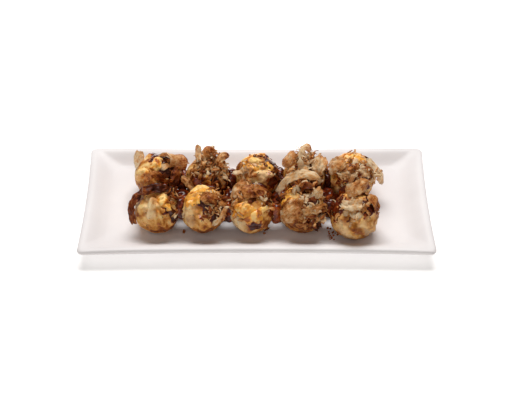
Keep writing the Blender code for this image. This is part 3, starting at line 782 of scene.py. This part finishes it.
def strip(middle, guides, width, facing, curl, seed, crumple, tear):
    """A torn sheet: along the parabola through the guides, rolled by the curl angle, then crumpled.
    Returns its points, and for each its places along and across in metres and its nearness to an edge."""
    u = np.repeat(np.linspace(-1, 1, FLAKE_STEPS), FLAKE_ROWS)
    v = np.tile(np.linspace(-1, 1, FLAKE_ROWS), FLAKE_STEPS)
    a, m, b = guides
    length = np.linalg.norm(m - a) + np.linalg.norm(b - m)
    flat = np.column_stack([u * length / 2, v * width / 2, 0 * u])
    side_noise = rough(np.column_stack([u * length / 2, np.sign(v) * 0.05, 0 * u]), 7 * MM, seed, 3)
    end_noise = rough(np.column_stack([np.sign(u) * 0.05, v * width / 2, 0 * u]), 5 * MM, seed + 1, 3)
    along = u * (1 + 0.4 * tear * end_noise * np.abs(u))
    narrowing = -MOUTH_FLARE if curl > ROLLED_UP else END_TAPER
    taper = (1 - narrowing * np.abs(u) ** 4) * (1 + tear * side_noise)
    line = m + np.outer(along, (b - a) / 2) + np.outer(along**2, (a + b) / 2 - m)
    tangent = (b - a) / 2 + np.outer(along, a + b - 2 * m)
    tangent /= np.linalg.norm(tangent, axis=1, keepdims=True)
    side = np.cross(facing, tangent)
    side /= np.linalg.norm(side, axis=1, keepdims=True)
    face = np.cross(tangent, side)
    turn = math.radians(curl) * v / 2
    bend = width / math.radians(curl)
    across = bend * np.sin(turn) * taper
    sag = bend * (np.cos(turn) - 1) * taper
    edge = np.maximum(np.abs(u), np.abs(v))
    crease = 1 - 2 * np.abs(rough(flat * (0.6, 1, 1), 6 * MM, seed + 3, 2))
    sag += crumple * (rough(flat, 12 * MM, seed + 2, 2) + 0.6 * crease)
    points = middle + line + side * across[:, None] + face * sag[:, None]
    return points, flat[:, :2], edge


print("widest flake laid flat:", max(row[4] for row in FLAKES.values()), "mm")

# %% [markdown]
# ### Dried bonito
#
# The shaving is a slice of hard, smoked muscle. Its grain runs along it in fine streaks, one edge is often
# the dark blood line, and the whole is so thin that light comes through it, so it glows when lit from
# behind. Dry flakes are pale pinkish beige, and those that lie in sauce soak it up and turn rust brown.
# A Translucent shader, mixed with the Principled one, lets the light of the far side through, and a little
# of the Transparent one shows what lies behind the palest flakes.

# %% Make the bonito finish
bonito, tree, output = new_material("shaved_dried_bonito")
flake_data = node(tree, "Attribute", attribute_name="flake")
tone = node(tree, "SeparateColor", {0: flake_data.outputs["Color"]})
place = node(tree, "TexCoord").outputs["Object"]
along_grain = node(tree, "CombineXYZ", {0: tone.outputs[1], 1: tone.outputs[2], 2: tone.outputs[0]})
stretched = node(tree, "Mapping", {
    "Vector": along_grain.outputs[0], "Scale": (90.0, 1300.0, 30.0)})
streaks = node(tree, "TexNoise", {
    "Vector": stretched.outputs[0], "Scale": 1.0, "Detail": 3.0, "Roughness": 0.6})
mottle = node(tree, "TexNoise", {"Vector": place, "Scale": 190.0, "Detail": 4.0, "Roughness": 0.6})
streak_shift = node(tree, "Math", {0: streaks.outputs["Fac"], 1: 1.0, 2: -0.5}, operation="MULTIPLY_ADD")
mottle_shift = node(tree, "Math", {0: mottle.outputs["Fac"], 1: 1.2, 2: -0.6}, operation="MULTIPLY_ADD")
shifted = node(tree, "Math", {0: streak_shift.outputs[0], 1: mottle_shift.outputs[0]}, operation="ADD")
shade = node(tree, "Math", {0: tone.outputs[0], 1: shifted.outputs[0]}, operation="ADD")
flake_colour = node(tree, "ValToRGB", {"Fac": shade.outputs[0]}, stops=(
    (0.0, linear("#ffeecb")), (0.22, linear("#f7cb8c")), (0.46, linear("#dd944a")),
    (0.72, linear("#9c4814")), (1.0, linear("#481805"))))
edge = node(tree, "MapRange", {0: flake_data.outputs["Alpha"], 1: 0.86, 2: 1.0, 3: 0.0, 4: 0.3})
edged = node(tree, "Mix", {0: edge.outputs[0], 6: flake_colour.outputs["Color"], 7: linear("#7c4a26")},
             data_type="RGBA")
flake_bump = node(tree, "Bump", {"Height": streaks.outputs["Fac"], "Strength": 0.5, "Distance": 0.0004})
front = node(tree, "BsdfPrincipled", {
    "Base Color": edged.outputs[2], "Roughness": 0.4, "IOR": 1.35, "Normal": flake_bump.outputs["Normal"]})
through = node(tree, "BsdfTranslucent", {"Color": edged.outputs[2], "Normal": flake_bump.outputs["Normal"]})
lit = node(tree, "MixShader", {0: 0.36, 1: front.outputs[0], 2: through.outputs[0]})
clear = node(tree, "MapRange", {0: tone.outputs[0], 1: 0.1, 2: 0.7, 3: 0.22, 4: 0.04})
shader = node(tree, "MixShader", {
    0: clear.outputs[0], 1: lit.outputs[0], 2: node(tree, "BsdfTransparent").outputs[0]})
tree.links.new(shader.outputs[0], output.inputs[0])
print("bonito shader nodes:", len(tree.nodes))

# %% [markdown]
# ### Laying on the large flakes
#
# A shaving is cut through muscle of uneven colour, so it darkens from one end to the other. Each one
# starts as a sheet without thickness, and Solidify then gives it two faces and an edge.

# %% Lay on the large flakes
TONE_DRIFT = 0.16


def thicken(piece):
    """Solidify gives the sheet its thickness, half on each side."""
    sheet = piece.modifiers.new("thickness", "SOLIDIFY")
    sheet.thickness = FLAKE_THICKNESS
    sheet.offset = 0
    return piece


for number, (name, row) in enumerate(FLAKES.items()):
    owner, start, halfway, end, width, facing, curl, tone_value = row
    guides = [np.array(point) * MM for point in (start, halfway, end)]
    crumple = TUBE_CRUMPLE if curl > ROLLED_UP else LOOSE_CRUMPLE
    points, flat, rim = strip(BALLS[owner][0], guides, width * MM, unit(*facing), curl, 500 + 7 * number,
                              crumple, EDGE_TEAR)
    points = pushed_clear(points, FLAKE_CLEARANCE)
    fading = tone_value + TONE_DRIFT * flat[:, 0] / flat[:, 0].max()
    values = np.column_stack([fading.clip(0, 1), flat, rim])
    thicken(new_piece(f"bonito_{name}", points, [grid_faces(FLAKE_STEPS, FLAKE_ROWS)], bonito,
                      [name], {"flake": values}))
print("large bonito flakes:", len(FLAKES))

# %% [markdown]
# ## Small flakes and shreds
#
# Between the large shavings lie hundreds of small torn ones, gathered in clusters. A row has the ball, the
# azimuth and elevation of the cluster's middle, its spread in millimetres, the number of flakes, the range
# of their lengths in millimetres, the share that stands up, how dark they are, and how far they wind, in
# radians.

# %% List the clusters
CLUSTERS = (
    ("back_2", (40, 80), 10, 130, (3, 8), 0.75, 0.42, 1.6),
    ("back_2", (-20, 62), 10, 28, (3, 9), 0.3, 0.48, 1.2),
    ("back_2", (-140, 45), 9, 16, (3, 8), 0.2, 0.6, 1.0),
    ("back_2", (-100, 62), 8, 16, (3, 7), 0.3, 0.5, 1.2),
    ("back_4", (90, 80), 10, 50, (6, 12), 0.7, 0.22, 3.2),
    ("back_4", (-110, 52), 11, 34, (4, 9), 0.35, 0.3, 2.2),
    ("back_4", (-40, 34), 9, 16, (4, 9), 0.2, 0.4, 1.6), ("back_4", (-130, 20), 8, 14, (3, 8), 0.2, 0.5, 1.4),
    ("back_5", (-100, 62), 12, 30, (3, 9), 0.2, 0.3, 1.2),
    ("back_5", (-40, 40), 12, 30, (4, 9), 0.15, 0.3, 1.2),
    ("back_5", (60, 50), 12, 14, (3, 8), 0.2, 0.5, 1.2), ("back_5", (-120, 30), 9, 16, (3, 8), 0.2, 0.5, 1.2),
    ("back_3", (60, 75), 9, 20, (2, 6), 0.2, 0.7, 1.0), ("back_3", (-140, 40), 9, 18, (3, 8), 0.2, 0.3, 1.4),
    ("back_3", (-20, 30), 9, 10, (2, 5), 0.1, 0.6, 1.0), ("back_1", (-30, 55), 8, 8, (2, 5), 0.1, 0.75, 1.0),
    ("back_1", (-66, 18), 9, 26, (4, 9), 0.3, 0.75, 1.0), ("back_1", (-20, 20), 9, 18, (4, 9), 0.3, 0.7, 1.0),
    ("front_1", (30, 50), 10, 26, (3, 9), 0.3, 0.7, 1.0),
    ("front_1", (-20, 30), 8, 14, (2, 6), 0.1, 0.65, 1.0),
    ("front_2", (-60, 45), 8, 18, (3, 8), 0.1, 0.5, 0.8),
    ("front_2", (-30, 22), 9, 24, (3, 8), 0.35, 0.4, 1.2),
    ("front_2", (30, 50), 10, 24, (3, 8), 0.3, 0.55, 1.2),
    ("front_3", (60, 70), 11, 34, (4, 10), 0.35, 0.45, 1.2),
    ("front_3", (-160, 50), 7, 14, (4, 9), 0.4, 0.3, 1.2),
    ("front_3", (-140, 5), 9, 12, (4, 9), 0.0, 0.15, 0.8),
    ("front_3", (-20, 40), 8, 18, (3, 8), 0.3, 0.35, 1.2),
    ("front_3", (180, 20), 8, 16, (3, 8), 0.2, 0.5, 1.2),
    ("front_4", (90, 70), 11, 30, (4, 10), 0.5, 0.4, 1.6),
    ("front_4", (-90, 50), 12, 46, (4, 10), 0.25, 0.5, 1.2),
    ("front_4", (-50, 25), 11, 36, (4, 10), 0.35, 0.45, 1.2),
    ("front_4", (-150, 25), 8, 20, (3, 8), 0.1, 0.55, 1.2),
    ("front_4", (-10, 30), 9, 18, (3, 8), 0.3, 0.6, 1.2),
    ("front_4", (180, 5), 8, 14, (3, 7), 0.2, 0.65, 1.0),
    ("front_5", (-160, 55), 9, 22, (3, 8), 0.2, 0.5, 1.2),
    ("front_5", (-60, 62), 9, 18, (3, 7), 0.15, 0.35, 1.2),
    ("front_5", (60, 55), 11, 20, (3, 9), 0.3, 0.45, 1.2), ("front_5", (0, 30), 8, 12, (3, 7), 0.1, 0.5, 1.2),
    ("front_2", (-165, 10), 6, 10, (3, 6), 0.1, 0.45, 1.0),
    ("back_2", (-40, 62), 13, 10, (8, 13), 0.4, 0.5, 1.6),
    ("back_1", (-40, 20), 10, 7, (8, 13), 0.3, 0.6, 1.4),
    ("back_4", (-90, 62), 13, 14, (8, 14), 0.5, 0.2, 2.0),
    ("back_5", (-80, 48), 15, 16, (8, 14), 0.15, 0.22, 1.2),
    ("back_5", (-15, 30), 9, 5, (8, 13), 0.1, 0.15, 1.0), ("front_1", (20, 50), 9, 6, (7, 12), 0.3, 0.6, 1.2),
    ("front_2", (-10, 48), 10, 8, (7, 12), 0.2, 0.45, 1.2),
    ("front_3", (90, 76), 12, 12, (8, 14), 0.25, 0.4, 1.2),
    ("front_3", (-140, 10), 8, 4, (7, 11), 0.0, 0.05, 0.8),
    ("front_4", (-90, 60), 15, 20, (8, 14), 0.3, 0.35, 1.4),
    ("front_4", (-60, 20), 12, 10, (7, 13), 0.2, 0.4, 1.2),
    ("front_5", (-110, 66), 10, 8, (7, 12), 0.15, 0.2, 1.2),
    ("back_3", (-120, 62), 8, 4, (7, 10), 0.2, 0.5, 1.2),
    ("back_2", (0, 86), 6, 12, (6, 10), 0.95, 0.45, 3.6),
    ("back_4", (60, 84), 7, 22, (6, 11), 0.95, 0.2, 4.0), ("back_2", (-5, 25), 8, 16, (3, 8), 0.3, 0.75, 1.2),
    ("back_3", (-8, 20), 8, 14, (3, 8), 0.3, 0.75, 1.2), ("back_4", (-6, 20), 8, 16, (3, 8), 0.3, 0.75, 1.2),
    ("front_2", (-5, 25), 8, 16, (3, 8), 0.3, 0.6, 1.2), ("front_3", (-8, 25), 8, 16, (3, 8), 0.3, 0.7, 1.2),
    ("back_1", (-6, 20), 8, 12, (3, 8), 0.3, 0.8, 1.2), ("front_1", (-6, 20), 8, 12, (3, 8), 0.3, 0.7, 1.2),
    ("back_2", (-8, 48), 9, 14, (6, 12), 0.2, 0.3, 1.2),
    ("back_3", (-172, 50), 8, 10, (6, 12), 0.2, 0.25, 1.2),
    ("front_4", (-70, 45), 14, 44, (5, 12), 0.45, 0.25, 2.4),
    ("back_5", (-70, 50), 14, 26, (5, 11), 0.25, 0.2, 2.4),
    ("back_4", (-80, 60), 12, 30, (5, 11), 0.5, 0.2, 2.8),
    ("back_2", (-60, 60), 14, 36, (5, 10), 0.5, 0.3, 2.6),
    ("front_2", (-50, 35), 10, 18, (4, 9), 0.2, 0.3, 2.2),
    ("front_5", (-88, 42), 4, 6, (6, 10), 0.0, 0.0, 0.8),
)
print("small flakes:", sum(row[3] for row in CLUSTERS), "in", len(CLUSTERS), "clusters")

# %% [markdown]
# ### Winding many strips at once
#
# Each small flake is a strip like the large ones, but with few points, and its middle line is an arc that
# winds up like a wood shaving. One array holds them all: flake by step by row. Laid flat, they are set
# SMALL_GAP metres apart, so that the noise that tears and crumples them differs for each.

# %% Shape the small flakes
SMALL_STEPS = 8
SMALL_ROWS = 4
SMALL_GAP = 0.1
SMALL_CLEARANCE = 0.25 * MM
SMALL_TEAR = 0.25
SMALL_CRUMPLE = 0.3 * MM


def curls(base, way, bend, length, width, coil, roll, seed):
    """Many strips at once. Each starts at its base along way and winds towards bend, so at share t of its
    length the middle line is base + length / coil * (sin(coil t) way + (1 - cos(coil t)) bend). Across
    it, the strip is rolled by the roll angle. Returns points, places along and across, and edge."""
    t = np.linspace(0, 1, SMALL_STEPS)[None, :, None, None]
    v = np.linspace(-1, 1, SMALL_ROWS)[None, None, :, None]
    way, bend, base = (vector[:, None, None, :] for vector in (way, bend, base))
    length, width, coil, roll = (value[:, None, None, None] for value in (length, width, coil, roll))
    shape = (len(base), SMALL_STEPS, SMALL_ROWS)
    apart = np.arange(len(base))[:, None, None, None] * SMALL_GAP
    laid = [t * length + 0 * v, v * width / 2 + 0 * t, apart + 0 * (t + v)]
    flat = np.broadcast_to(np.concatenate(laid, axis=-1), (*shape, 3)).reshape(-1, 3)
    ragged = rough(flat * (1, 0.2, 1), 4 * MM, seed, 2).reshape(*shape, 1)
    crumple = rough(flat, 5 * MM, seed + 1, 2).reshape(*shape, 1)
    angle = coil * t
    line = length / coil * (np.sin(angle) * way + (1 - np.cos(angle)) * bend)
    normal = -np.sin(angle) * way + np.cos(angle) * bend
    side = np.cross(way, bend)
    taper = (1 - 0.5 * np.abs(2 * t - 1) ** 3) * (1 + SMALL_TEAR * ragged)
    across = width / roll * np.sin(roll * v / 2) * taper
    sag = width / roll * (1 - np.cos(roll * v / 2)) * taper + SMALL_CRUMPLE * crumple
    points = (base + line + across * side + sag * normal).reshape(-1, 3)
    edge = np.broadcast_to(np.maximum(np.abs(2 * t - 1), np.abs(v)), (*shape, 1)).reshape(-1)
    return points, flat[:, :2], edge


print("a small flake has", SMALL_STEPS * SMALL_ROWS, "points")

# %% [markdown]
# ### Scattering them
#
# A particle system would scatter copies of one flake. Here each flake gets its own length, width, winding
# and colour from a seeded random draw, and all of them are joined into one mesh. Flakes that stand rise
# from the skin and wind either way; the others lie along it. Past NARROW_FROM radians of winding they are
# narrow shreds. WIDTH_SHARE is their width over their length, and TALLEST_BASE, in millimetres, keeps the
# highest of them in the heap.

# %% Scatter the small flakes
TALLEST_BASE = 5.5
WIDTH_SHARE = (0.16, 0.7)
NARROW_FROM = 1.5
TONE_SPREAD = 0.26


def scattered(clusters, seed):
    """Draws the flakes of every cluster, then shapes them all at once. Returns points and attributes."""
    draw = np.random.default_rng(seed)
    bases, ways, bends, sizes = [], [], [], []
    for owner, heading, spread, count, lengths, standing, darkness, coil in clusters:
        middle, radius = BALLS[owner]
        out = unit(*heading) + draw.normal(size=(count, 3)) * spread * MM / radius * 0.55
        out /= np.linalg.norm(out, axis=1, keepdims=True)
        rise = draw.uniform(0.2, min(1.5 + 9 * standing**2, TALLEST_BASE), count)
        height = ball_reach(owner, out) + rise * MM
        side = np.cross(out, draw.normal(size=(count, 3)))
        side /= np.linalg.norm(side, axis=1, keepdims=True)
        stands = draw.random(count) < standing
        lift = np.where(stands, draw.uniform(0.6, 1.4, count), draw.uniform(-0.1, 0.3, count))[:, None]
        way = side * np.cos(lift) + out * np.sin(lift)
        bend = -side * np.sin(lift) + out * np.cos(lift)
        bend += np.where(stands[:, None], 0.8, 0.3) * np.cross(way, bend) * draw.normal(size=(count, 1))
        bend *= np.where(stands, draw.choice([-1, 1], count), -1)[:, None]
        bend /= np.linalg.norm(bend, axis=1, keepdims=True)
        length = draw.uniform(*lengths, count) * MM
        bases.append(middle + out * height[:, None] - way * length[:, None] * 0.3)
        ways.append(way)
        bends.append(bend)
        width = length * draw.uniform(*WIDTH_SHARE, count) / max(coil / NARROW_FROM, 1)
        winding = np.maximum(draw.normal(coil, 0.5, count), 0.25)
        roll = draw.uniform(0.4, 2.4, count)
        dark = darkness + draw.normal(size=count) * TONE_SPREAD
        sizes.append(np.column_stack([length, width, winding, roll, dark]))
    length, width, winding, roll, dark = np.concatenate(sizes).T
    points, flat, edge = curls(np.concatenate(bases), np.concatenate(ways), np.concatenate(bends),
                               length, width, winding, roll, seed + 1)
    values = np.column_stack([np.repeat(dark.clip(0, 1), SMALL_STEPS * SMALL_ROWS), flat, edge])
    return pushed_clear(points, SMALL_CLEARANCE), values


points, values = scattered(CLUSTERS, 77)
count = len(points) // (SMALL_STEPS * SMALL_ROWS)
faces = joined(grid_faces(SMALL_STEPS, SMALL_ROWS), SMALL_STEPS * SMALL_ROWS, count)
thicken(new_piece("bonito_small_flakes", points, [faces], bonito, (), {"flake": values}))
print("faces of the small flakes:", len(faces))

# %% [markdown]
# ## Seaweed flecks
#
# Aonori is dried green seaweed crushed to flecks about a millimetre across. Each fleck is a thin lens
# of six points round and one above and below, pressed on the skin of a ball.

# %% Sprinkle the seaweed
FLECKS_PER_BALL = 26
FLECK_RADIUS = (0.3, 0.65)


def flecks(seed):
    """Joined lenses: a ring of six points with a point above and below, each turned to lie on the skin."""
    draw = np.random.default_rng(seed)
    angle = np.linspace(0, 2 * math.pi, 6, endpoint=False)
    lens = np.concatenate([
        np.stack([np.cos(angle), np.sin(angle), 0 * angle], 1), [[0, 0, 0.35], [0, 0, -0.35]]])
    everything = []
    for name, (middle, radius) in BALLS.items():
        out = draw.normal(size=(FLECKS_PER_BALL, 3)) + (0, -0.25, 0.35)
        out /= np.linalg.norm(out, axis=1, keepdims=True)
        place = middle + out * (ball_reach(name, out) + 0.05 * MM)[:, None]
        east = np.cross(out, draw.normal(size=(FLECKS_PER_BALL, 3)))
        east /= np.linalg.norm(east, axis=1, keepdims=True)
        north = np.cross(out, east)
        size = draw.uniform(*FLECK_RADIUS, (FLECKS_PER_BALL, 1, 1)) * MM
        long = draw.uniform(1.0, 2.2, (FLECKS_PER_BALL, 1))
        shape = (lens[None, :, :1] * long[:, None] * east[:, None] + lens[None, :, 1:2] * north[:, None]
                 + lens[None, :, 2:] * out[:, None])
        everything.append((place[:, None] + shape * size).reshape(-1, 3))
    return np.concatenate(everything)


seaweed, tree, output = new_material("dried_green_seaweed")
place = node(tree, "TexCoord").outputs["Object"]
blend = node(tree, "TexNoise", {"Vector": place, "Scale": 150.0, "Detail": 2.0})
seaweed_colour = node(tree, "ValToRGB", {"Fac": blend.outputs["Fac"]},
                      stops=((0.3, linear("#23301a")), (0.7, linear("#5a5f2a"))))
shader = node(tree, "BsdfPrincipled", {"Base Color": seaweed_colour.outputs["Color"], "Roughness": 0.6})
tree.links.new(shader.outputs[0], output.inputs[0])
points = flecks(91)
ring = np.arange(6)
one = np.concatenate([cap_faces(ring, 6, flip=False), cap_faces(ring, 7, flip=True)])
faces = joined(one, 8, len(points) // 8)
new_piece("seaweed_flecks", points, [faces], seaweed)
print("seaweed flecks:", len(points) // 8)

# %% [markdown]
# ## Crumbs
#
# A few crumbs of batter and flake have dropped on the tray. Each is a ball of few faces pulled out of
# shape by noise, and they are wide but low, as crumbs lie.

# %% Drop the crumbs
CRUMB_SPOTS = ((6, -33), (9, -31), (61, -30), (63, -34), (66, -36), (62, -39), (64, -42), (-62, -34))
CRUMBS_PER_SPOT = 4
CRUMB_SCATTER = 1.3
CRUMB_ROWS = 6
CRUMB_COLUMNS = 9
draw = np.random.default_rng(23)
spots = np.repeat(np.array(CRUMB_SPOTS, float), CRUMBS_PER_SPOT, axis=0)
spots += draw.normal(size=spots.shape) * CRUMB_SCATTER
crumb_directions = sphere_directions(CRUMB_ROWS, CRUMB_COLUMNS)
crumb_sizes = draw.uniform(0.35, 0.95, (len(spots), 1, 1)) * MM
crumb_points = crumb_directions[None] * crumb_sizes * draw.uniform(0.6, 1.6, (len(spots), 1, 3))
crumb_points += np.column_stack([spots * MM, np.full(len(spots), FLOOR_HEIGHT + 0.5 * MM)])[:, None]
crumb_points = crumb_points.reshape(-1, 3)
crumb_points += 0.2 * MM * rough(crumb_points, 1.5 * MM, 24, 2)[:, None]
crumb_points[:, 2] = np.maximum(crumb_points[:, 2], FLOOR_HEIGHT + 0.05 * MM)
one_crumb = sphere_faces(CRUMB_ROWS, CRUMB_COLUMNS)
crumb_faces = [joined(part, len(crumb_directions), len(spots)) for part in one_crumb]
crumb_coat = np.tile((0.15, 0.0, 0.75, 0.0), (len(crumb_points), 1))
new_piece("batter_crumbs", crumb_points, crumb_faces, batter, (), {"coat": crumb_coat})
print("crumbs:", len(spots))

# %% [markdown]
# ## Table and light
#
# The dish stands on a plain white table. The main light is a wide soft box behind and above the dish,
# as food is usually lit: it shines through the flakes, glints on the sauce and drops soft shadows
# towards the viewer. A weaker box in front and a white surround lift the shadows.

# %% Light the scene
TABLE_REACH = 3.0
floor_mesh = bpy.data.meshes.new("table_top")
corners = [(x * TABLE_REACH, y * TABLE_REACH, 0) for x, y in ((-1, -1), (1, -1), (1, 1), (-1, 1))]
floor_mesh.from_pydata(corners, [], [(0, 1, 2, 3)])
floor = bpy.data.objects.new("table_top", floor_mesh)
bpy.context.scene.collection.objects.link(floor)
white, tree, output = new_material("white_table")
shader = node(tree, "BsdfPrincipled", {
    "Base Color": linear("#f7f6f5"), "Roughness": 0.8, "Emission Color": linear("#ffffff"),
    "Emission Strength": 0.35})
tree.links.new(shader.outputs[0], output.inputs[0])
floor_mesh.materials.append(white)


def soft_box(name, place, target, size, power):
    """A rectangular lamp at place, turned to shine at target."""
    data = bpy.data.lights.new(name, "AREA")
    data.shape = "RECTANGLE"
    data.size, data.size_y = size
    data.energy = power
    lamp = bpy.data.objects.new(name, data)
    bpy.context.scene.collection.objects.link(lamp)
    way = np.array(target) - np.array(place)
    flat = math.hypot(way[0], way[1])
    lamp.location = place
    lamp.rotation_euler = (math.atan2(flat, -way[2]), 0, math.atan2(-way[0], way[1]) if flat else 0)
    return lamp


soft_box("back_box", (0.0, 0.52, 1.25), (0, 0, 0.02), (1.0, 0.5), 17.2)
soft_box("front_box", (-0.3, -0.9, 1.0), (0, 0, 0.02), (1.2, 0.8), 2.0)
world = bpy.data.worlds.new("white_surround")
bpy.context.scene.world = world
world.use_nodes = True
world.node_tree.nodes["Background"].inputs["Color"].default_value = (1, 0.92, 0.84, 1)
world.node_tree.nodes["Background"].inputs["Strength"].default_value = 0.22
print("lamps:", len(bpy.data.lights))
